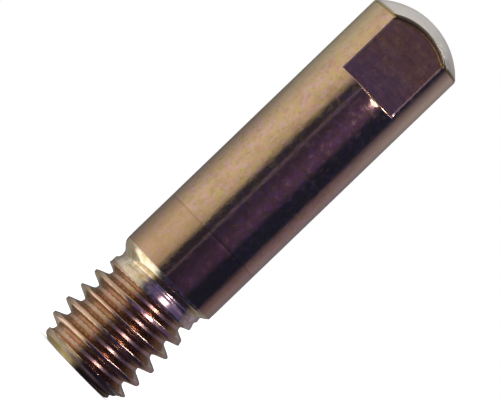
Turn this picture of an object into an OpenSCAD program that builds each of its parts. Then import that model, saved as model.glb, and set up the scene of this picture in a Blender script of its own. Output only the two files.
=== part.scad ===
// Screw-in contact tip for a wire-feed welding torch.
// It is turned from one copper bar: a short pilot, a male thread with a run-out neck, a round
// barrel, a domed nose with two wrench flats, and a wire bore from end to end.
// The thread end stands on z = 0, the nose points up, and the flats face -Y and +Y.

/* [Body] */
// Length over the domed nose
overall_l = 25.4; // [20:0.1:40]
// Diameter of the barrel
barrel_d = 5.9; // [5.6:0.1:7.5]
// Radius of the domed nose
nose_r = 4.05; // [3.2:0.05:8]

/* [Wrench flats] */
// Distance across the two flats
across_flats = 4.7; // [3:0.1:5.7]
// Length of the flats, back from the top of the nose
flat_l = 5; // [2.5:0.05:10]

/* [Thread] */
// Major diameter of the thread
thread_d = 5.85; // [5.7:0.05:6]
// Pitch of the thread
pitch = 1; // [0.8:0.05:1.1]
// Radius at the root of the thread
root_r = 0.08; // [0.05:0.01:0.14]
// Full-height length of the thread, from the end
thread_l = 4.3; // [3:0.05:4.8]
// Angle round the axis at which the crest leaves the end
thread_start = 100; // [0:1:359]

/* [Pilot] */
// Diameter of the flat face at the thread end
end_d = 4.25; // [3.4:0.05:4.55]
// Diameter of the pilot ahead of the thread
pilot_d = 4.85; // [4.7:0.05:5.2]
// Length of the pilot, with its chamfer
pilot_l = 0.5; // [0.4:0.05:0.8]
// Angle to the axis at which the first crest rises from the pilot
lead_angle = 60; // [30:5:70]

/* [Neck and shoulder] */
// Diameter of the neck behind the thread
neck_d = 5.36; // [5.24:0.02:5.6]
// Length of the taper from the thread down to the neck
neck_taper_l = 0.85; // [0.3:0.05:0.9]
// Turns over which the thread's groove climbs out of the neck
run_out_turns = 1.3; // [0.9:0.05:1.6]
// Height of the neck's far edge above the thread end
neck_z = 5.8; // [5.4:0.05:8]
// Diameter of the relief between the neck and the shoulder
relief_d = 5.1; // [4.8:0.02:5.2]
// Length of the relief
relief_l = 0.2; // [0.1:0.05:1]
// Angle of the shoulder cone to the axis
shoulder_angle = 45; // [30:1:60]
// Radius that blends the shoulder into the barrel
shoulder_round = 0.55; // [0.1:0.05:0.9]

/* [Wire bore] */
// Diameter of the wire bore
bore_d = 1; // [0.7:0.1:1.8]
// Mouth diameter of the lead-in cone at the thread end
lead_in_d = 2; // [1.9:0.1:3]
// Included angle of the lead-in cone
lead_in_angle = 60; // [40:5:120]

/* [Hidden] */

$fn = 96;
eps = 0.1;

copper = [0.69, 0.52, 0.34];

barrel_r = barrel_d / 2;
thread_r = thread_d / 2;
neck_r = neck_d / 2;
relief_r = relief_d / 2;
end_r = end_d / 2;
pilot_r = pilot_d / 2;
bore_r = bore_d / 2;
lead_in_r = lead_in_d / 2;

// The dome is a cap of one sphere, and its rim is where that sphere meets the barrel.
nose_centre_z = overall_l - nose_r;
rim_z = nose_centre_z + sqrt(nose_r * nose_r - barrel_r * barrel_r);

// The shoulder cone rises from the relief and would meet the barrel at this corner.
relief_z = neck_z + relief_l;
corner_z = relief_z + (barrel_r - relief_r) / tan(shoulder_angle);
corner_blend = shoulder_round * tan(shoulder_angle / 2);
arc_steps = 8;

// How far the turned part reaches down into the threaded end, at its middle and at the relief
root_l = neck_taper_l / 2;
relief_overlap = relief_l / 4;

// A 60 degree thread whose crest is an eighth of the pitch, with a round root.
flank = 30;
crest_w = pitch / 8;
root_w = root_r * cos(flank);
thread_depth = (pitch / 2 - crest_w / 2 - root_w) / tan(flank) + root_r * sin(flank);
root_centre_r = thread_r - thread_depth + root_r;
run_out_z = thread_l + neck_taper_l;

// The thread's surface is a mesh whose rows follow the helix. In one pitch they lie on
// the edges of the crest, the middles of the flanks, and the ends and middle of the root.
flank_mid = (crest_w / 2 + pitch / 2 - root_w) / 2;
rows = [
    -crest_w / 2, crest_w / 2, flank_mid, pitch / 2 - root_w,
    pitch / 2, pitch / 2 + root_w, pitch - flank_mid
];
rows_per_turn = len(rows);
columns = 48;
first_turn = -3;
last_turn = ceil(neck_z / pitch) + 2;
column_size = (last_turn - first_turn + 1) * rows_per_turn + 2;

// Points on a circle's arc, from one angle to another
function arc(centre, radius, from, to, steps) =
    [for (i = [0:steps]) let (a = from + (to - from) * i / steps)
        centre + radius * [cos(a), sin(a)]];

// Radius of the bar before the groove is cut, at a height
function bar_r(z) = min(
    thread_r,
    end_r + z,
    pilot_r + max(0, z - pilot_l) * tan(lead_angle),
    max(neck_r, neck_r + (thread_r - neck_r) * (run_out_z - z) / neck_taper_l)
);

// Radius of an endless thread, at a distance along the axis from the middle of its root
function groove_r(d) =
    d < root_w
        ? root_centre_r - sqrt(root_r * root_r - d * d)
        : root_centre_r - root_r * sin(flank) + (d - root_w) / tan(flank);

// How far the groove has climbed out at a height
function climb(z) = thread_depth * max(0, z - run_out_z) / (pitch * run_out_turns);

// Radius of the thread at a height and an offset from the middle of its crest
function thread_at(z, offset) = min(bar_r(z), groove_r(abs(pitch / 2 - offset)) + climb(z));

// Angle of a column, which stands half a step off the X and Y axes
function column_angle(j) = 360 * (j + 0.5) / columns;

// Height at which the crest passes a column, in the turn that starts at the end
function crest_z(j) = pitch * (column_angle(j) - thread_start) / 360;

// Offset of row k from the crest in its own turn, and its height on column j
function row_offset(k) = rows[k % rows_per_turn];
function row_z(j, k) = crest_z(j) + (first_turn + floor(k / rows_per_turn)) * pitch + row_offset(k);

// The lowest and the highest rows of a column that lie between its two ends
row_count = column_size - 2;
function lowest_row(j, k = 0) = row_z(j, k) > 0 ? k : lowest_row(j, k + 1);
function highest_row(j, k = row_count - 1) = row_z(j, k) < neck_z ? k : highest_row(j, k - 1);

// Offset from the crest at a height on column j
function offset_at(j, z) = let (t = (z - crest_z(j)) / pitch) (t - floor(t)) * pitch;

// Where a row, the foot and the head of a column stand in the list of points.
// The last column is the first one again, one turn further on.
function row_id(j, k) =
    j < columns ? j * column_size + k : row_id(j - columns, k + rows_per_turn);
function foot_id(j) = (j % columns) * column_size + row_count;
function head_id(j) = foot_id(j) + 1;

function on_column(j, r, z) = [r * cos(column_angle(j)), r * sin(column_angle(j)), z];

// The triangles that fan out from one point over a list of others
function fan(from, over) = [for (i = [0:len(over) - 2]) [from, over[i + 1], over[i]]];

// The threaded end, up to the far edge of the neck
module threaded_end() {
    points = [for (j = [0:columns - 1]) each concat(
        [for (k = [0:row_count - 1])
            let (z = row_z(j, k))
            on_column(j, thread_at(max(0, min(neck_z, z)), row_offset(k)), z)],
        [on_column(j, end_r, 0), on_column(j, thread_at(neck_z, offset_at(j, neck_z)), neck_z)]
    )];
    walls = [for (j = [0:columns - 1])
        let (low = lowest_row(j), high = highest_row(j + 1))
        each concat(
            [for (k = [low:high - 1]) each [
                [row_id(j, k), row_id(j + 1, k + 1), row_id(j + 1, k)],
                [row_id(j, k), row_id(j, k + 1), row_id(j + 1, k + 1)]
            ]],
            fan(foot_id(j), concat(
                [foot_id(j + 1)],
                [for (k = [lowest_row(j + 1):low]) row_id(j + 1, k)],
                [row_id(j, low)]
            )),
            fan(head_id(j + 1), concat(
                [head_id(j)],
                [for (k = [highest_row(j):-1:high]) row_id(j, k)],
                [row_id(j + 1, high)]
            ))
        )];
    foot = [for (j = [0:columns - 1]) foot_id(j)];
    head = [for (j = [columns - 1:-1:0]) head_id(j)];
    polyhedron(points, concat(walls, [foot, head]), convexity = 10);
}

// The relief, the shoulder, the barrel and the domed nose, as they are turned.
// A cone below the relief roots this part in the middle of the threaded end.
module body() {
    corner = arc([barrel_r - shoulder_round, corner_z + corner_blend], shoulder_round,
        -shoulder_angle, 0, arc_steps);
    outline = concat(
        [
            [0, neck_z - root_l],
            [relief_r - root_l + relief_overlap, neck_z - root_l],
            [relief_r, neck_z - relief_overlap],
            [relief_r, relief_z]
        ],
        corner,
        [[barrel_r, rim_z], [0, rim_z]]
    );
    rotate_extrude() {
        polygon(outline);
        intersection() {
            translate([0, nose_centre_z]) circle(r = nose_r);
            translate([0, rim_z]) square([barrel_r, overall_l - rim_z]);
        }
    }
}

// What the two wrench flats cut away
module flat_cuts() {
    for (side = [-1, 1])
        translate([0, side * (across_flats / 2 + barrel_r), overall_l])
            cube([2 * barrel_d, barrel_d, 2 * flat_l], center = true);
}

// The wire's way through, with its lead-in cone at the thread end
module wire_way() {
    lead_in_l = lead_in_r / tan(lead_in_angle / 2);
    translate([0, 0, -eps]) cylinder(r = bore_r, h = overall_l + 2 * eps);
    cylinder(r1 = lead_in_r, r2 = 0, h = lead_in_l);
}

module contact_tip() {
    color(copper)
        difference() {
            union() {
                threaded_end();
                body();
            }
            flat_cuts();
            wire_way();
        }
}

contact_tip();
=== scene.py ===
import math

import bpy
import numpy as np
from mathutils import Matrix, Vector


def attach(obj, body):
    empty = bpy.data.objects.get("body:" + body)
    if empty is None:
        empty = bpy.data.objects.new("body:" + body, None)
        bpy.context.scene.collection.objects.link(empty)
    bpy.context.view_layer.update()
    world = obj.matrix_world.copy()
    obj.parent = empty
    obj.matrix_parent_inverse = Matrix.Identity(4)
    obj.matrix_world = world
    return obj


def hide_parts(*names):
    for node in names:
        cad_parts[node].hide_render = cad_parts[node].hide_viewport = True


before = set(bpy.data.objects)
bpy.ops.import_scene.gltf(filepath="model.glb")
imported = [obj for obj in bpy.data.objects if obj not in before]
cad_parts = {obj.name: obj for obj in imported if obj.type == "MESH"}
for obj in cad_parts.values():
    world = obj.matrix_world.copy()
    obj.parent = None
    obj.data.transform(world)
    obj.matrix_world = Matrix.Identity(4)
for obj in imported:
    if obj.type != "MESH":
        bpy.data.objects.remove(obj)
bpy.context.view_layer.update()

MM = 0.001

# The tip's sizes in millimetres, as in the CAD. The thread end stands on z = 0 and the nose points up.
LENGTH = 25.4
BARREL_R = 2.95
NOSE_R = 4.05
FLAT_Y = 2.35
FLAT_LENGTH = 5.0
THREAD_R = 2.925
PITCH = 1.0
THREAD_START = 100.0
THREAD_LENGTH = 4.3
ROOT_R = 2.23
END_R = 2.125
PILOT_R = 2.425
PILOT_LENGTH = 0.5
NECK_R = 2.68
NECK_START = 5.15
NECK_END = 5.8
RELIEF_R = 2.55
RELIEF_END = 6.0
SHOULDER_ROUND = 0.55
BORE_R = 0.5
LEAD_IN_R = 1.0
LEAD_IN_ANGLE = 60.0
TOOL_LINE_Z = 9.75

NOSE_CENTRE_Z = LENGTH - NOSE_R
FLAT_Z = LENGTH - FLAT_LENGTH
RIM_Z = NOSE_CENTRE_Z + math.sqrt(NOSE_R**2 - BARREL_R**2)
FLAT_HALF_ANGLE = math.acos(FLAT_Y / BARREL_R)
FLAT_HALF_WIDTH = BARREL_R * math.sin(FLAT_HALF_ANGLE)

# How finely the surface is meshed
FLAT_COLUMNS = 44
ROUND_COLUMNS = 58
BEVEL_ROOM = 0.16
THREAD_ROW = 0.027
END_ROWS = 6
SHOULDER_ROWS = 12
LOW_BARREL_ROWS = 7
TOOL_LINE_ROWS = 5
BARREL_ROWS = 18
DENT_ROWS = 5
FLAT_ROWS = 13
DOME_ROWS = 26
MOUTH_ROWS = 5
BORE_ROWS = 14


def ease(x):
    """A smooth step from 0 at x = 0 to 1 at x = 1."""
    x = np.clip(x, 0.0, 1.0)
    return x * x * (3.0 - 2.0 * x)


def soft_min(a, b, width):
    """The lesser of two lengths, with the corner between them rounded over a width."""
    h = np.clip(0.5 + 0.5 * (b - a) / width, 0.0, 1.0)
    return b + (a - b) * h - width * h * (1.0 - h)


def spread_columns(half, count):
    """Angles from -half up to half, which is left out, with room for a bevel beside both ends."""
    room = BEVEL_ROOM / BARREL_R
    return np.concatenate([[-half], np.linspace(-half + room, half - room, count - 1)])


def column_angles():
    """Angles of the columns round the axis, with one column on each edge of the flats."""
    quarter = math.pi / 2
    flat = spread_columns(FLAT_HALF_ANGLE, FLAT_COLUMNS)
    between = spread_columns(quarter - FLAT_HALF_ANGLE, ROUND_COLUMNS)
    return np.concatenate([-quarter + flat, between, quarter + flat, 2 * quarter + between])


# For each column: its angle, whether it lies on a flat, its radius there, and its place across that flat
# as seen from outside, positive to the right.
ANGLE_TOLERANCE = 1e-6
LEAST_COSINE = 0.1
angles = column_angles()
columns = len(angles)
from_flat = np.abs(np.abs((angles + math.pi) % (2 * math.pi) - math.pi) - math.pi / 2)
on_flat = from_flat < FLAT_HALF_ANGLE - ANGLE_TOLERANCE
flat_r = np.minimum(BARREL_R, FLAT_Y / np.maximum(np.cos(from_flat), LEAST_COSINE))
across = -BARREL_R * np.cos(angles) * np.sign(np.sin(angles))


def shoulder_outline():
    """Heights and radii up the shoulder cone and round its blend into the barrel."""
    corner_z = RELIEF_END + BARREL_R - RELIEF_R
    centre_z = corner_z + SHOULDER_ROUND * math.tan(math.pi / 8)
    turn = np.linspace(-math.pi / 4, 0.0, SHOULDER_ROWS)
    heights = centre_z + SHOULDER_ROUND * np.sin(turn)
    radii = BARREL_R - SHOULDER_ROUND + SHOULDER_ROUND * np.cos(turn)
    return heights, radii


# The bar before the thread is cut, with its wear: the pilot and its chamfer, first turns that are a little
# low, the neck, which drops into the relief, and the shoulder.
END_WEAR = 0.08
CHAMFER_LENGTH = 0.2
CHAMFER_WEAR = 0.04
CHAMFER_BLEND = 0.3
FIRST_TURN = 0.24
FIRST_TURN_LOW = 0.1
SECOND_TURN = 0.8
SECOND_TURN_LOW = 0.07
FULL_TURN = 1.5
NECK_BEND = 0.33
NECK_LIP = 0.03
NECK_LIP_DROP = 0.07
RELIEF_FLOOR = 0.12
CORNER_SOFTNESS = 0.05
CORNER_SAMPLES = 7
SHOULDER_Z, SHOULDER_RADII = shoulder_outline()
SHOULDER_TOP = float(SHOULDER_Z[-1])
BAR_OUTLINE = [
    (0.0, END_R - END_WEAR),
    (CHAMFER_LENGTH, PILOT_R - CHAMFER_WEAR),
    (CHAMFER_BLEND, PILOT_R),
    (PILOT_LENGTH, PILOT_R),
    (PILOT_LENGTH + FIRST_TURN, THREAD_R - FIRST_TURN_LOW),
    (PILOT_LENGTH + SECOND_TURN, THREAD_R - SECOND_TURN_LOW),
    (PILOT_LENGTH + FULL_TURN, THREAD_R),
    (THREAD_LENGTH, THREAD_R),
    (NECK_START, NECK_R),
    (NECK_END - NECK_BEND, NECK_R),
    (NECK_END - NECK_LIP, NECK_R - NECK_LIP_DROP),
    (RELIEF_END - RELIEF_FLOOR, RELIEF_R),
    (RELIEF_END, RELIEF_R),
]
BAR_Z = np.concatenate([[z for z, r in BAR_OUTLINE], SHOULDER_Z])
BAR_R = np.concatenate([[r for z, r in BAR_OUTLINE], SHOULDER_RADII])


def bar_radius(z):
    """Radius of the turned bar at a height, with its corners a little worn."""
    offsets = CORNER_SOFTNESS * np.linspace(-1.0, 1.0, CORNER_SAMPLES)
    return np.mean([np.interp(np.maximum(z + o, 0.0), BAR_Z, BAR_R) for o in offsets], axis=0)


# The thread's groove: its root leans a little, its crests vary along the helix, and it climbs out of the
# neck.
ROOT_HALF = 0.09
ROOT_LEAN = 0.23
CREST_HALF = 0.05
CREST_VARIATION = 0.025
CREST_WAVES = 0.43
CREST_PHASE = 0.8
CREST_WEAR = 0.02
WEAR_WAVES = 1.37
CREST_ROUNDING = 0.05
FLANK_ROUNDING = 0.6
RUN_OUT_R = 2.53
RUN_OUT_START = 5.2
RUN_OUT_LENGTH = 0.4
CLIMB_OUT_R = 3.4
CLIMB_OUT_START = 6.17
CLIMB_OUT_LENGTH = 0.3


def thread_radius(theta, z):
    """Radius of the threaded end, its neck and its shoulder at an angle and a height."""
    turn = theta / (2 * math.pi)
    crest_z = PITCH * (turn - THREAD_START / 360.0)
    offset = np.mod(z - crest_z, PITCH)
    root_z = z - offset + PITCH / 2
    root = ROOT_R + (RUN_OUT_R - ROOT_R) * ease((root_z - RUN_OUT_START) / RUN_OUT_LENGTH)
    root += (CLIMB_OUT_R - RUN_OUT_R) * ease((root_z - CLIMB_OUT_START) / CLIMB_OUT_LENGTH)
    root -= ROOT_LEAN * np.clip(offset - PITCH / 2, -ROOT_HALF, ROOT_HALF)
    along = 2 * math.pi * (turn + np.round((z - crest_z) / PITCH))
    crest_half = CREST_HALF + CREST_VARIATION * np.sin(CREST_WAVES * along + CREST_PHASE)
    top = np.maximum(THREAD_R - CREST_WEAR * np.sin(WEAR_WAVES * along) ** 2, root)
    rise = np.abs(offset - PITCH / 2) - ROOT_HALF
    share = np.clip(rise / (PITCH / 2 - crest_half - ROOT_HALF), 0.0, 1.0)
    share = share + FLANK_ROUNDING * (ease(share) - share)
    return soft_min(bar_radius(z), root + (top - root) * share, CREST_ROUNDING)


# Each row is (radius per column, height per column, zone name)
rows = []


def add_row(radius, height, zone):
    """Adds a row round the axis, whose radius and height may differ by column."""
    full = np.ones(columns)
    rows.append((full * radius, full * height, zone))


# The end face, the thread, the neck and the shoulder
NECK_ZONE_START = NECK_START + 0.15
for share in np.linspace(0.0, 1.0, END_ROWS):
    add_row(LEAD_IN_R + (BAR_R[0] - LEAD_IN_R) * share, 0.0, "thread")
for height in np.arange(THREAD_ROW, SHOULDER_TOP, THREAD_ROW):
    zone = "neck" if height > NECK_ZONE_START else "thread"
    add_row(thread_radius(angles, height), height, zone)

# The barrel, with its turning line and a spot at the ledge's edge that is worn down a little, so that it
# glints
TOOL_LINE_DEPTH = 0.007
TOOL_LINE_HALF = 0.06
TOOL_LINE_CLEAR = 3 * TOOL_LINE_HALF
DENT_ACROSS = 0.6
DENT_DEPTH = 0.07
DENT_LENGTH = 0.24
DENT_FIRST_ROW = 0.8
DENT_HALF_WIDTH = 0.26
in_dent = np.where(on_flat, np.exp(-(((across - DENT_ACROSS) / DENT_HALF_WIDTH) ** 2)), 0.0)
barrel_heights = np.concatenate([
    np.linspace(SHOULDER_TOP, TOOL_LINE_Z - TOOL_LINE_CLEAR, LOW_BARREL_ROWS),
    TOOL_LINE_Z + TOOL_LINE_HALF * np.linspace(-1.0, 1.0, TOOL_LINE_ROWS),
    np.linspace(TOOL_LINE_Z + TOOL_LINE_CLEAR, FLAT_Z - DENT_LENGTH, BARREL_ROWS),
    FLAT_Z - DENT_LENGTH * np.linspace(DENT_FIRST_ROW, 0.0, DENT_ROWS),
])
for height in barrel_heights:
    dip = TOOL_LINE_DEPTH * max(0.0, 1.0 - abs(height - TOOL_LINE_Z) / TOOL_LINE_HALF)
    dent = DENT_DEPTH * max(0.0, 1.0 - (FLAT_Z - height) / DENT_LENGTH)
    add_row(BARREL_R - dip - dent * in_dent, height, "barrel")
ledge_row = len(rows) - 1

# The ledge, the flats and the barrel between them, and the dome
DOME_FIRST_ROW = 0.15
MOUTH_EDGE = 0.06
add_row(flat_r, FLAT_Z, "step")
cut_z = NOSE_CENTRE_Z + np.sqrt(NOSE_R**2 - flat_r**2)
for share in np.linspace(0.0, 1.0, FLAT_ROWS)[1:]:
    add_row(flat_r, FLAT_Z + share * (cut_z - FLAT_Z), "flat")
rim_row = len(rows) - 1
for share in np.linspace(DOME_FIRST_ROW, 1.0, DOME_ROWS):
    radius = flat_r + (BORE_R + MOUTH_EDGE - flat_r) * share
    add_row(radius, NOSE_CENTRE_Z + np.sqrt(NOSE_R**2 - radius**2), "dome")
mouth_z = float(rows[-1][1][0])

# The bore, from its rounded mouth down to the lead-in cone
BORE_FIRST_ROW = 0.3
for turn in np.linspace(0.0, math.pi / 2, MOUTH_ROWS)[1:]:
    radius = BORE_R + MOUTH_EDGE * (1.0 - math.sin(turn))
    add_row(radius, mouth_z - MOUTH_EDGE * (1.0 - math.cos(turn)), "bore")
lead_in_top = (LEAD_IN_R - BORE_R) / math.tan(math.radians(LEAD_IN_ANGLE / 2))
for height in np.linspace(mouth_z - BORE_FIRST_ROW, lead_in_top, BORE_ROWS):
    add_row(BORE_R, height, "bore")
add_row((BORE_R + LEAD_IN_R) / 2, lead_in_top / 2, "bore")

ZONES = ["thread", "neck", "barrel", "step", "flat", "dome", "bore"]
SHARP_ANGLE = math.radians(32.0)


def build_mesh(name):
    """One closed mesh from the rows, which run up the outside and back down the bore."""
    ids = np.zeros((len(rows), columns), int)
    points = []
    for i, (radius, height, zone) in enumerate(rows):
        for j in range(columns):
            if i == ledge_row + 1 and not on_flat[j]:
                ids[i, j] = ids[ledge_row, j]
                continue
            ids[i, j] = len(points)
            points.append((
                MM * radius[j] * math.cos(angles[j]),
                MM * radius[j] * math.sin(angles[j]),
                MM * height[j],
            ))
    faces, zones = [], []
    for i in range(len(rows)):
        upper = (i + 1) % len(rows)
        for j in range(columns):
            k = (j + 1) % columns
            ring = [ids[i, j], ids[i, k], ids[upper, k], ids[upper, j]]
            ring = list(dict.fromkeys(int(v) for v in ring))
            if len(ring) < 3:
                continue
            zone = rows[upper][2]
            if zone == "flat" and not (on_flat[j] or on_flat[k]):
                zone = "barrel"
            faces.append(ring)
            zones.append(ZONES.index(zone))
    mesh = bpy.data.meshes.new(name)
    mesh.from_pydata(points, [], faces)
    mesh.polygons.foreach_set("material_index", zones)
    mesh.validate()
    mesh.update()
    return mesh, ids


tip_mesh, ids = build_mesh("contact_tip_skin")
tip = bpy.data.objects.new("contact_tip_skin", tip_mesh)
bpy.context.scene.collection.objects.link(tip)
tip_mesh.shade_smooth()
tip_mesh.set_sharp_from_angle(angle=SHARP_ANGLE)

# The edges that a tool leaves slightly broken, with the share of the widest bevel that each one gets. A
# flat's left and right sides differ, and the right one's bevel grows from the ledge up. The ledge's edge is
# broken most at one spot, where the cutter left it, and not past the ledge's own depth.
BEVEL = 0.2
BEVEL_PROFILE = 0.3
BEVEL_SEGMENTS = 4
RIM_SHARE = 0.4
FLAT_ARC_SHARE = 1.0
FLAT_SIDE_SHARES = (0.15, 0.6)
SIDE_GROWTH_ROWS = 4
LEDGE_LEAST = 0.15
LEDGE_MOST = 0.8
LEDGE_MIDDLE = 0.45
LEDGE_HALF = 0.6
LEDGE_DEPTH_SHARE = 0.6


def ledge_share(j, k):
    """The bevel's share on the ledge's edge between two columns."""
    depth = BARREL_R - (flat_r[j] + flat_r[k]) / 2
    near_spot = math.exp(-(((across[j] - LEDGE_MIDDLE) / LEDGE_HALF) ** 2))
    share = LEDGE_LEAST + (LEDGE_MOST - LEDGE_LEAST) * near_spot
    return min(share, LEDGE_DEPTH_SHARE * depth / BEVEL)


def mark_bevels():
    """Writes each edge's share of the widest bevel to the mesh."""
    shares = {}
    for j in range(columns):
        k = (j + 1) % columns
        shares[frozenset((ids[rim_row, j], ids[rim_row, k]))] = RIM_SHARE
        if on_flat[j] or on_flat[k]:
            shares[frozenset((ids[rim_row, j], ids[rim_row, k]))] = FLAT_ARC_SHARE
            shares[frozenset((ids[ledge_row, j], ids[ledge_row, k]))] = ledge_share(j, k)
        if not on_flat[j] and (on_flat[k] or on_flat[j - 1]):
            side_share = FLAT_SIDE_SHARES[int(across[j] > 0.0)]
            for i in range(ledge_row + 1, rim_row):
                grown = min(1.0, (i - ledge_row - 1) / SIDE_GROWTH_ROWS)
                share = LEDGE_LEAST + (side_share - LEDGE_LEAST) * grown
                shares[frozenset((ids[i, j], ids[i + 1, j]))] = share
    weights = tip_mesh.attributes.new("bevel_weight_edge", "FLOAT", "EDGE")
    values = [shares.get(frozenset(edge.vertices), 0.0) for edge in tip_mesh.edges]
    weights.data.foreach_set("value", values)


mark_bevels()
bevel = tip.modifiers.new("broken_edges", "BEVEL")
bevel.limit_method = "WEIGHT"
bevel.width = BEVEL * MM
bevel.profile = BEVEL_PROFILE
bevel.segments = BEVEL_SEGMENTS
bevel.use_clamp_overlap = False
bevel.harden_normals = True


class Nodes:
    """A material's nodes, with short ways to add and link them."""

    def __init__(self, name):
        self.material = bpy.data.materials.new(name)
        self.material.use_nodes = True
        self.tree = self.material.node_tree
        self.shader = self.tree.nodes["Principled BSDF"]
        self.place = self.node("ShaderNodeTexCoord").outputs["Object"]

    def node(self, kind, **inputs):
        """A new node, whose inputs are given by name with _ for each space."""
        node = self.tree.nodes.new(kind)
        for name, value in inputs.items():
            self.feed(node.inputs[name.replace("_", " ")], value)
        return node

    def feed(self, socket, value):
        """Links an output to a socket, or sets a plain value there."""
        if isinstance(value, bpy.types.NodeSocket):
            self.tree.links.new(value, socket)
        else:
            socket.default_value = value

    def math(self, operation, a, b=0.0):
        """The result of a sum, a product or the like."""
        node = self.node("ShaderNodeMath")
        node.operation = operation
        self.feed(node.inputs[0], a)
        self.feed(node.inputs[1], b)
        return node.outputs["Value"]

    def span(self, value, low, high, to_low=0.0, to_high=1.0):
        """A value brought from one range to another, and held at that range's ends."""
        node = self.node("ShaderNodeMapRange", Value=value, From_Min=low, From_Max=high)
        self.feed(node.inputs["To Min"], to_low)
        self.feed(node.inputs["To Max"], to_high)
        return node.outputs["Result"]

    def split(self, vector):
        """The X, Y and Z of a vector."""
        outputs = self.node("ShaderNodeSeparateXYZ", Vector=vector).outputs
        return outputs["X"], outputs["Y"], outputs["Z"]

    def mix(self, factor, a, b):
        """A blend of two colours."""
        mix = self.node("ShaderNodeMix")
        mix.data_type = "RGBA"
        sockets = [s for s in mix.inputs if s.enabled]
        for socket, value in zip(sockets, (factor, a, b)):
            self.feed(socket, value)
        return next(s for s in mix.outputs if s.enabled)


class Metal(Nodes):
    """A bare metal, built up from layers of colour, roughness and bump. Lengths are given in millimetres."""

    def __init__(self, name, color, roughness):
        super().__init__(name)
        self.shader.inputs["Metallic"].default_value = 1.0
        self.color = (*color, 1.0)
        self.roughness = roughness
        self.normal = None

    def noise(self, stretch, detail=3.0, roughness=0.55):
        """Noise from 0 to 1, with this many features to the metre along X, Y and Z."""
        spread = self.node("ShaderNodeMapping", Vector=self.place, Scale=stretch)
        noise = self.node("ShaderNodeTexNoise", Scale=1.0, Detail=detail, Roughness=roughness)
        self.feed(noise.inputs["Vector"], spread.outputs["Vector"])
        return noise.outputs["Fac"]

    def height(self):
        """Height above the thread end."""
        return self.split(self.place)[2]

    def radius(self):
        """Distance from the axis."""
        x, y, z = self.split(self.place)
        return self.math("SQRT", self.math("ADD", self.math("MULTIPLY", x, x), self.math("MULTIPLY", y, y)))

    def distance(self, point):
        """Distance from a point."""
        away = self.node("ShaderNodeVectorMath", Vector=self.place)
        away.operation = "DISTANCE"
        away.inputs[1].default_value = tuple(MM * c for c in point)
        return away.outputs["Value"]

    def between(self, value, start, full, share=1.0):
        """A factor that grows from 0 to a share as a length goes from start to full."""
        return self.span(value, start * MM, full * MM, 0.0, share)

    def by_height(self, start, full, share=1.0):
        """A factor that grows from 0 to a share as the height goes from start to full."""
        return self.between(self.height(), start, full, share)

    def tint(self, factor, color):
        """Lays a colour over the metal where the factor is high."""
        self.color = self.mix(factor, self.color, (*color, 1.0))

    def wash(self, noise, start, full, share, color):
        """Lays a colour over the metal, up to a share of it, as a noise goes from start to full."""
        self.tint(self.span(noise, start, full, 0.0, share), color)

    def ring(self, height, half_width, share, color):
        """Lays a ring of a colour round the axis at a height, up to a share of it."""
        away = self.math("ABSOLUTE", self.math("SUBTRACT", self.height(), height * MM))
        self.tint(self.between(away, half_width, half_width / 2, share), color)

    def roughen(self, value, low, high):
        """Spreads the roughness between two shares of its own, by a value from 0 to 1."""
        self.roughness = self.span(value, 0.0, 1.0, low * self.roughness, high * self.roughness)

    def rougher(self, factor, amount):
        """Adds to the roughness where the factor is high."""
        self.roughness = self.math("ADD", self.roughness, self.math("MULTIPLY", factor, amount))

    def bump(self, value, depth):
        """Lifts the surface by a value times a depth."""
        bump = self.node("ShaderNodeBump", Height=value, Distance=depth * MM)
        if self.normal is not None:
            self.feed(bump.inputs["Normal"], self.normal)
        self.normal = bump.outputs["Normal"]

    def finish(self):
        """Links the layers to the shader, and gives the material."""
        self.feed(self.shader.inputs["Base Color"], self.color)
        self.feed(self.shader.inputs["Roughness"], self.roughness)
        if self.normal is not None:
            self.feed(self.shader.inputs["Normal"], self.normal)
        return self.material


# Features to the metre of each texture, along X, Y and Z
PATCHES = (900.0, 900.0, 700.0)
BLUSH = (2600.0, 2600.0, 2300.0)
STRAW = (3100.0, 3100.0, 2700.0)
FLECKS = (3000.0, 3000.0, 2600.0)
GRAIN = (4200.0, 4200.0, 4200.0)
SCUFFS = (3600.0, 3600.0, 3000.0)
CLOUDS = (800.0, 800.0, 1500.0)
WAVES = (1700.0, 1700.0, 900.0)
MOTTLE = (1900.0, 1900.0, 2700.0)
WANDER = (900.0, 900.0, 500.0)
TURNED = (400.0, 400.0, 9000.0)
DRAWN = (5200.0, 5200.0, 160.0)
DOME_GRAIN = (3000.0, 3000.0, 9000.0)

# The metal's colours, clean and stained, zone by zone, with painted shade in some of them
COPPER = (0.515, 0.355, 0.195)
STAIN = (0.38, 0.23, 0.13)
REAR_COPPER = (0.42, 0.255, 0.14)
THREAD_COPPER = (0.51, 0.36, 0.26)
THREAD_STAIN = (0.4, 0.265, 0.175)
# Painted shade that darkens the pilot by the floor
PILOT_SHADE_BROWN = (0.25, 0.2, 0.14)
NECK_COPPER = (0.72, 0.63, 0.47)
NECK_STAIN = (0.56, 0.46, 0.31)
FLAT_COPPER = (0.65, 0.475, 0.26)
FLAT_STAIN = (0.53, 0.38, 0.22)
# Painted shade along the flats' sides
FLAT_SIDE_SHADE = (0.3, 0.24, 0.2)
CUTTER_STAIN = (0.4, 0.26, 0.2)
DOME_COPPER = (0.77, 0.73, 0.66)
DOME_STAIN = (0.69, 0.64, 0.55)
# The bore's colours are painted dark, as shade inside the hole
BORE_SHADED_COPPER = (0.36, 0.21, 0.11)
BORE_SHADED_STAIN = (0.2, 0.11, 0.06)

# Tarnish and wear, and painted shade
ROSE = (0.60, 0.33, 0.27)
YELLOW = (0.50, 0.40, 0.14)
MAUVE = (0.58, 0.365, 0.42)
# Painted shade for the dark lines at the rim and on the pilot
SHADE_OLIVE = (0.26, 0.19, 0.04)
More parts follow.
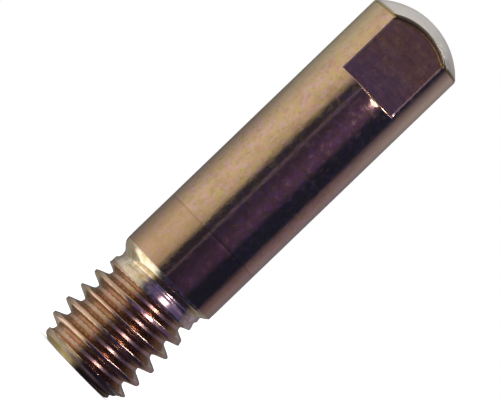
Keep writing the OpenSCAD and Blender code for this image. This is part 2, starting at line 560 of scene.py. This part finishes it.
# Deeper painted shade along the flats' arc and the dome beside it
DEEP_SHADE_OLIVE = (0.05, 0.036, 0.008)
PALE = (0.88, 0.74, 0.4)
RUSSET = (0.76, 0.47, 0.15)
PLUM = (0.5, 0.36, 0.33)
MOTTLE_DARK = (0.42, 0.29, 0.2)
MOTTLE_LIGHT = (0.86, 0.63, 0.38)

# How far one zone's colour fades into the next, in millimetres
ZONE_FADE = 0.1


def weathered(name, color, stain, roughness, stain_share=0.75, scuff=1.6, blush=0.7):
    """Metal with patches of tarnish, a blush of rose and yellow, and a fine grain."""
    metal = Metal(name, color, roughness)
    patches = metal.noise(PATCHES, detail=6.0, roughness=0.62)
    grain = metal.noise(GRAIN, detail=2.0)
    metal.wash(metal.noise(BLUSH), start=0.48, full=0.66, share=blush, color=ROSE)
    metal.wash(metal.noise(STRAW), start=0.5, full=0.66, share=blush, color=YELLOW)
    metal.wash(patches, start=0.5, full=0.72, share=stain_share, color=stain)
    metal.wash(grain, start=0.5, full=0.72, share=0.6, color=stain)
    scuffs = metal.span(metal.noise(SCUFFS, detail=4.0), low=0.5, high=0.68)
    metal.roughen(scuffs, low=0.85, high=scuff)
    metal.bump(grain, depth=0.0009)
    return metal


# The barrel is paler and rougher on its two sides near the flats. The wear grows between these distances
# from a line a little left of the axis, and from this far below the ledge to this far above it.
WORN_MIDDLE = -0.25
WORN_START = 2.0
WORN_FULL = 2.8
WORN_BELOW = 5.0
WORN_ABOVE = 1.0


def barrel_metal():
    metal = weathered("copper_barrel", COPPER, STAIN, roughness=0.125, scuff=1.7)
    metal.wash(metal.noise(FLECKS, detail=2.0), start=0.52, full=0.64, share=0.4, color=MAUVE)
    metal.rougher(metal.by_height(SHOULDER_TOP, FLAT_Z), amount=0.05)
    x = metal.split(metal.place)[0]
    aside = metal.math("ABSOLUTE", metal.math("SUBTRACT", x, WORN_MIDDLE * MM))
    on_sides = metal.between(aside, WORN_START, WORN_FULL, share=0.8)
    near_flats = metal.by_height(FLAT_Z - WORN_BELOW, FLAT_Z + WORN_ABOVE)
    worn = metal.math("MULTIPLY", on_sides, near_flats)
    metal.tint(worn, PALE)
    metal.rougher(worn, amount=0.12)
    metal.tint(metal.by_height(TOOL_LINE_Z, TOOL_LINE_Z - ZONE_FADE, share=0.5), REAR_COPPER)
    metal.ring(TOOL_LINE_Z, half_width=0.08, share=0.8, color=STAIN)
    # A ring of painted shade along the rim where the dome starts
    metal.ring(RIM_Z, half_width=0.13, share=0.85, color=SHADE_OLIVE)
    metal.bump(metal.noise(WAVES), depth=0.011)
    metal.bump(metal.noise(TURNED), depth=0.0006)
    metal.bump(metal.noise(DRAWN), depth=0.0006)
    return metal.finish()


# The thread is duller near its root, between these heights above it, and the pilot has a line of painted
# shade at this height, where its chamfer ends.
ROOT_DULL_START = 0.25
ROOT_DULL_FULL = 0.05
PILOT_SHADE_Z = 0.19


def thread_metal():
    metal = weathered("copper_thread", THREAD_COPPER, THREAD_STAIN, roughness=0.2)
    in_root = metal.between(metal.radius(), ROOT_R + ROOT_DULL_START, ROOT_R + ROOT_DULL_FULL)
    metal.rougher(in_root, amount=0.12)
    # The pilot is painted darker, as shade by the floor, and made rougher
    shaded_pilot = metal.by_height(PILOT_LENGTH + ZONE_FADE, PILOT_LENGTH, share=0.8)
    metal.tint(shaded_pilot, PILOT_SHADE_BROWN)
    metal.rougher(shaded_pilot, amount=0.3)
    # A line of painted shade where the pilot's chamfer ends
    metal.ring(PILOT_SHADE_Z, half_width=0.12, share=0.75, color=SHADE_OLIVE)
    metal.bump(metal.noise(TURNED), depth=0.0004)
    return metal.finish()


def neck_metal():
    metal = weathered("copper_neck", NECK_COPPER, NECK_STAIN, roughness=0.16)
    below_cone = metal.by_height(RELIEF_END, RELIEF_END - ZONE_FADE)
    metal.rougher(below_cone, amount=0.03)
    metal.bump(metal.math("MULTIPLY", metal.noise(TURNED), below_cone), depth=0.0022)
    return metal.finish()


# The flats' cutter marks are arcs about this point, with this many to the metre, and wander by this much at
# most. The point and the wander are in millimetres.
CUTTER_CENTRE = (0.4, -FLAT_Y, 12.0)
CUTTER_MARKS = 4400.0
CUTTER_WANDER = 0.15

# The flats are redder toward the nose and greyer toward the ledge, between these heights above the ledge.
# They have painted shade along their sides and along the arc where the dome starts, from these distances
# inside each edge.
NOSE_TINT_START = 1.3
NOSE_TINT_FULL = 3.0
LEDGE_TINT_START = 2.2
LEDGE_TINT_FULL = 0.6
SIDE_DARK_START = 0.09
SIDE_DARK_FULL = 0.05
ARC_DARK_START = 0.23
ARC_DARK_FULL = 0.12
NOSE_CENTRE = (0.0, 0.0, NOSE_CENTRE_Z)


def cutter_marks(metal):
    """Noise in wandering arcs, as a milling cutter leaves them."""
    wander = metal.math("MULTIPLY", metal.noise(WANDER), CUTTER_WANDER * MM)
    marks = metal.node("ShaderNodeTexNoise", Scale=CUTTER_MARKS, Detail=2.0)
    marks.noise_dimensions = "1D"
    metal.feed(marks.inputs["W"], metal.math("ADD", metal.distance(CUTTER_CENTRE), wander))
    return marks.outputs["Fac"]


def flat_metal():
    metal = weathered(
        "copper_flat", FLAT_COPPER, FLAT_STAIN, roughness=0.24, stain_share=0.6, scuff=1.05, blush=0.35)
    metal.wash(metal.noise(CLOUDS), start=0.42, full=0.6, share=0.8, color=RUSSET)
    mottle = metal.noise(MOTTLE, detail=2.0)
    metal.wash(mottle, start=0.5, full=0.68, share=0.6, color=MOTTLE_DARK)
    metal.wash(mottle, start=0.46, full=0.3, share=0.6, color=MOTTLE_LIGHT)
    metal.tint(metal.by_height(FLAT_Z + NOSE_TINT_START, FLAT_Z + NOSE_TINT_FULL, share=0.3), RUSSET)
    metal.tint(metal.by_height(FLAT_Z + LEDGE_TINT_START, FLAT_Z + LEDGE_TINT_FULL, share=0.5), PLUM)
    marks = cutter_marks(metal)
    metal.wash(marks, start=0.42, full=0.66, share=0.25, color=CUTTER_STAIN)
    metal.bump(marks, depth=0.0015)
    metal.bump(metal.noise(WAVES), depth=0.012)
    aside = metal.math("ABSOLUTE", metal.split(metal.place)[0])
    # Painted shade along the flats' sides
    shaded_side = metal.between(aside, FLAT_HALF_WIDTH - SIDE_DARK_START, FLAT_HALF_WIDTH - SIDE_DARK_FULL)
    metal.tint(shaded_side, FLAT_SIDE_SHADE)
    metal.rougher(shaded_side, amount=0.2)
    from_nose = metal.distance(NOSE_CENTRE)
    # Painted shade along the arc where the dome starts
    shaded_arc = metal.between(from_nose, NOSE_R - ARC_DARK_START, NOSE_R - ARC_DARK_FULL, share=0.95)
    metal.tint(shaded_arc, DEEP_SHADE_OLIVE)
    metal.rougher(shaded_arc, amount=0.12)
    return metal.finish()


# The dome has painted shade where it meets the flats, from these distances inside their planes.
DOME_DARK_START = 0.2
DOME_DARK_FULL = 0.14


def dome_metal():
    metal = weathered(
        "copper_dome", DOME_COPPER, DOME_STAIN, roughness=0.33, stain_share=0.4, scuff=1.2, blush=0.12)
    # A ring of painted shade along the rim where the dome starts
    metal.ring(RIM_Z, half_width=0.12, share=0.7, color=SHADE_OLIVE)
    depth = metal.math("ABSOLUTE", metal.split(metal.place)[1])
    # Painted shade on the dome where it meets the flats
    shaded_flat_edge = metal.between(depth, FLAT_Y - DOME_DARK_START, FLAT_Y - DOME_DARK_FULL, share=0.92)
    metal.tint(shaded_flat_edge, DEEP_SHADE_OLIVE)
    metal.rougher(shaded_flat_edge, amount=0.08)
    metal.bump(metal.noise(DOME_GRAIN), depth=0.0008)
    return metal.finish()


# The bore is painted dark, as shade inside the hole.
def bore_metal():
    return weathered("copper_bore", BORE_SHADED_COPPER, BORE_SHADED_STAIN, roughness=0.4).finish()


def step_metal():
    return weathered("copper_step", COPPER, STAIN, roughness=0.25).finish()


MATERIALS = {
    "thread": thread_metal(),
    "neck": neck_metal(),
    "barrel": barrel_metal(),
    "step": step_metal(),
    "flat": flat_metal(),
    "dome": dome_metal(),
    "bore": bore_metal(),
}
for zone in ZONES:
    tip_mesh.materials.append(MATERIALS[zone])

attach(tip, "root")
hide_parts("contact_tip")

# The camera stands a little below the tip's middle and is rolled, so that the tip lies across the picture.
# Its distance and heights are in millimetres.
CAMERA_AZIMUTH = math.radians(-4.5)
CAMERA_DISTANCE = 225.0
CAMERA_Z = 7.4
AIM_Z = 12.39
ROLL = math.radians(46.1)
PIXELS_PER_MM = 19.55
IMAGE_WIDTH = 500
SENSOR = 36.0
CLIP_START = 0.001


def add_camera():
    place = Vector((
        CAMERA_DISTANCE * math.sin(CAMERA_AZIMUTH),
        -CAMERA_DISTANCE * math.cos(CAMERA_AZIMUTH),
        CAMERA_Z,
    ))
    aim = Vector((0.0, 0.0, AIM_Z))
    back = (place - aim).normalized()
    side = Vector((0.0, 0.0, 1.0)).cross(back).normalized()
    up = back.cross(side)
    rolled_side = side * math.cos(ROLL) + up * math.sin(ROLL)
    rolled_up = up * math.cos(ROLL) - side * math.sin(ROLL)
    data = bpy.data.cameras.new("camera")
    data.sensor_width = SENSOR
    data.lens = PIXELS_PER_MM * (place - aim).length * SENSOR / IMAGE_WIDTH
    data.clip_start = CLIP_START
    camera = bpy.data.objects.new("camera", data)
    turn = Matrix((rolled_side, rolled_up, back)).transposed()
    camera.matrix_world = Matrix.Translation(place * MM) @ turn.to_4x4()
    bpy.context.scene.collection.objects.link(camera)
    bpy.context.scene.camera = camera


add_camera()


def add_stage_mesh(name, points, faces, material):
    mesh = bpy.data.meshes.new(name)
    mesh.from_pydata(points, [], faces)
    mesh.materials.append(material)
    obj = bpy.data.objects.new(name, mesh)
    bpy.context.scene.collection.objects.link(obj)
    return obj


FLOOR_SIZE = 3.0
FLOOR_COLOR = (0.9, 0.9, 0.9, 1.0)
FLOOR_GLOW = 0.4
WHITE = (1.0, 1.0, 1.0, 1.0)


def floor_material():
    """A matt white floor. It glows for the camera and for reflections, so that it reads as white."""
    material = bpy.data.materials.new("floor_white")
    material.use_nodes = True
    tree = material.node_tree
    shader = tree.nodes["Principled BSDF"]
    shader.inputs["Base Color"].default_value = FLOOR_COLOR
    shader.inputs["Roughness"].default_value = 1.0
    shader.inputs["Specular IOR Level"].default_value = 0.0
    shader.inputs["Emission Color"].default_value = WHITE
    path = tree.nodes.new("ShaderNodeLightPath")
    seen = path.outputs["Is Camera Ray"]
    for other in ("Is Glossy Ray", "Is Transmission Ray"):
        either = tree.nodes.new("ShaderNodeMath")
        either.operation = "MAXIMUM"
        tree.links.new(seen, either.inputs[0])
        tree.links.new(path.outputs[other], either.inputs[1])
        seen = either.outputs["Value"]
    level = tree.nodes.new("ShaderNodeMath")
    level.operation = "MULTIPLY"
    level.inputs[1].default_value = FLOOR_GLOW
    tree.links.new(seen, level.inputs[0])
    tree.links.new(level.outputs["Value"], shader.inputs["Emission Strength"])
    return material


corners = [(-1, -1), (1, -1), (1, 1), (-1, 1)]
add_stage_mesh(
    "floor",
    [(FLOOR_SIZE * x, FLOOR_SIZE * y, 0.0) for x, y in corners],
    [(0, 1, 2, 3)],
    floor_material(),
)

# A round tent of glowing cards stands about the tip for the studio's light and shade, and only reflections
# show it. Each stop is an angle from the camera's direction, positive to its right, and the colour that the
# tent has there: level with the tip in the first list, well above it in the second, well below it in the
# third and under it in the last.
BLACK = (0.045, 0.048, 0.105)
STRIP = (0.22, 0.2, 0.38)
VIOLET = (0.135, 0.088, 0.29)
NAVY = (0.02, 0.028, 0.085)
DUSK = (0.24, 0.18, 0.5)
REAR_GREY = (0.12, 0.12, 0.13)
TENT_LEVEL = [
    (-180, REAR_GREY),
    (-152, (0.22, 0.22, 0.22)),
    (-125, (0.46, 0.46, 0.5)),
    (-85, (1.0, 1.0, 1.02)),
    (-62, (1.0, 0.99, 0.98)),
    (-37, (0.72, 0.7, 0.66)),
    (-25, BLACK),
    (-11, BLACK),
    (-9, STRIP),
    (-6, STRIP),
    (-4, (0.06, 0.05, 0.14)),
    (8, (0.072, 0.056, 0.16)),
    (32, VIOLET),
    (45, (0.105, 0.075, 0.24)),
    (55, NAVY),
    (91, NAVY),
    (103, (0.225, 0.19, 0.31)),
    (130, (0.36, 0.32, 0.46)),
    (155, (0.24, 0.22, 0.28)),
    (180, REAR_GREY),
]
REAR_ABOVE = (0.6, 0.6, 0.62)
TENT_ABOVE = [
    (-180, REAR_ABOVE),
    (-110, (0.75, 0.75, 0.78)),
    (-60, (0.95, 0.84, 0.68)),
    (-44, (0.7, 0.6, 0.46)),
    (-32, (0.1, 0.08, 0.2)),
    (0, (0.16, 0.13, 0.5)),
    (20, DUSK),
    (88, DUSK),
    (120, (0.14, 0.12, 0.15)),
    (145, (0.2, 0.19, 0.2)),
    (180, REAR_ABOVE),
]
REAR_BELOW = (0.3, 0.3, 0.28)
LOW_CARD = (1.7, 1.7, 1.7)
LOW_DARK = (0.04, 0.03, 0.08)
TENT_BELOW = [
    (-180, REAR_BELOW),
    (-120, (0.36, 0.35, 0.3)),
    (-100, (0.5, 0.48, 0.42)),
    (-88, LOW_CARD),
    (-32, LOW_CARD),
    (-18, (0.1, 0.09, 0.1)),
    (0, LOW_DARK),
    (95, LOW_DARK),
    (112, (0.24, 0.22, 0.21)),
    (180, REAR_BELOW),
]
REAR_UNDER = (0.4, 0.4, 0.38)
UNDER_DARK = (0.03, 0.024, 0.06)
TENT_UNDER = [
    (-180, REAR_UNDER),
    (-60, (0.6, 0.6, 0.58)),
    (-40, (0.9, 0.9, 0.85)),
    (-26, (1.5, 1.5, 1.45)),
    (-12, (1.4, 1.4, 1.35)),
    (2, UNDER_DARK),
    (50, UNDER_DARK),
    (75, (0.16, 0.16, 0.15)),
    (180, REAR_UNDER),
]

# The sines of the angles above the tip's middle between which one list blends into the next
ABOVE_SINES = (0.2, 0.5)
BELOW_SINES = (-0.2, -0.5)
UNDER_SINES = (-0.965, -0.98)

# The right side is darker just below the tip's middle, from one pair of angles to the other, in radians.
SHADE_LEFT = (-0.25, -0.1)
SHADE_RIGHT = (2.0, 1.4)
SHADE_SINES = (0.05, -0.02)
SHADE_SHARE = 0.5

# The tent's size in metres
TENT_R = 0.3
TENT_HEIGHT = 0.8
TENT_FOOT = 0.02 * MM
TENT_STEPS = 72


def tent_material():
    cards = Nodes("tent_cards")
    tip_middle = (0.0, 0.0, LENGTH / 2 * MM)
    toward = cards.node("ShaderNodeVectorMath")
    toward.operation = "SUBTRACT"
    cards.feed(toward.inputs[0], cards.place)
    cards.feed(toward.inputs[1], tip_middle)
    unit = cards.node("ShaderNodeVectorMath", Vector=toward.outputs["Vector"])
    unit.operation = "NORMALIZE"
    x, y, z = cards.split(unit.outputs["Vector"])
    angle = cards.math("ARCTAN2", x, cards.math("MULTIPLY", y, -1.0))
    share = cards.span(angle, -math.pi, math.pi)

    def ramp(tent_stops):
        node = cards.node("ShaderNodeValToRGB", Fac=share)
        stops = node.color_ramp.elements
        while len(stops) < len(tent_stops):
            stops.new(0.5)
        for stop, (degrees, color) in zip(stops, tent_stops):
            stop.position = (degrees + 180.0) / 360.0
            stop.color = (*color, 1.0)
        return node.outputs["Color"]

    color = cards.mix(cards.span(z, *ABOVE_SINES), ramp(TENT_LEVEL), ramp(TENT_ABOVE))
    color = cards.mix(cards.span(z, *BELOW_SINES), color, ramp(TENT_BELOW))
    color = cards.mix(cards.span(z, *UNDER_SINES), color, ramp(TENT_UNDER))
    right = cards.math("MULTIPLY", cards.span(angle, *SHADE_LEFT), cards.span(angle, *SHADE_RIGHT))
    shade = cards.math("MULTIPLY", right, cards.span(z, *SHADE_SINES, 0.0, SHADE_SHARE))
    color = cards.mix(shade, color, (*NAVY, 1.0))
    glow = cards.node("ShaderNodeEmission", Color=color)
    output = cards.tree.nodes["Material Output"]
    cards.feed(output.inputs["Surface"], glow.outputs["Emission"])
    cards.tree.nodes.remove(cards.shader)
    return cards.material


def add_tent():
    outline = [(TENT_FOOT, TENT_FOOT), (TENT_R, TENT_FOOT), (TENT_R, TENT_HEIGHT)]
    points, faces = [], []
    for i in range(TENT_STEPS):
        angle = 2 * math.pi * i / TENT_STEPS
        points += [(r * math.cos(angle), r * math.sin(angle), z) for r, z in outline]
    size = len(outline)
    for i in range(TENT_STEPS):
        here, there = i * size, (i + 1) % TENT_STEPS * size
        for k in range(size - 1):
            faces.append((here + k, there + k, there + k + 1, here + k + 1))
    tent = add_stage_mesh("tent", points, faces, tent_material())
    tent.rotation_euler.z = CAMERA_AZIMUTH
    tent.visible_camera = False
    tent.visible_diffuse = False
    tent.visible_shadow = False


add_tent()

# The world is plain white. Surfaces find it by their own rays, so that the tent hides it from reflections.
world = bpy.data.worlds.new("studio")
bpy.context.scene.world = world
world.use_nodes = True
world.node_tree.nodes["Background"].inputs["Color"].default_value = WHITE
world.node_tree.nodes["Background"].inputs["Strength"].default_value = 1.0
world.cycles.sampling_method = "NONE"

LAMP_DISTANCE = 0.25


def add_lamp(name, azimuth, elevation, size, color, level):
    """A round lamp that faces the tip, at angles from the camera's direction. Level 1 is white."""
    angle = math.radians(azimuth) + CAMERA_AZIMUTH
    rise = math.radians(elevation)
    away = Vector((math.sin(angle) * math.cos(rise), -math.cos(angle) * math.cos(rise), math.sin(rise)))
    data = bpy.data.lights.new(name, "AREA")
    data.shape = "DISK"
    data.size = size
    data.color = color
    area = math.pi * size**2 / 4
    data.energy = level * math.pi * area
    lamp = bpy.data.objects.new(name, data)
    lamp.location = away * LAMP_DISTANCE + Vector((0.0, 0.0, LENGTH / 2 * MM))
    lamp.rotation_euler = away.to_track_quat("Z", "Y").to_euler()
    bpy.context.scene.collection.objects.link(lamp)


# The flash makes the small sharp glints, the soft box the pink haze round them, and the top light the streak
# along the ledge.
add_lamp("flash", azimuth=35.0, elevation=28.0, size=0.02, color=(1.0, 0.92, 1.0), level=100.0)
add_lamp("soft_box", azimuth=31.0, elevation=26.0, size=0.08, color=(1.0, 0.72, 0.92), level=4.5)
add_lamp("top_light", azimuth=102.0, elevation=67.0, size=0.07, color=(1.0, 0.98, 1.0), level=16.0)

bpy.context.scene.view_settings.view_transform = "Standard"
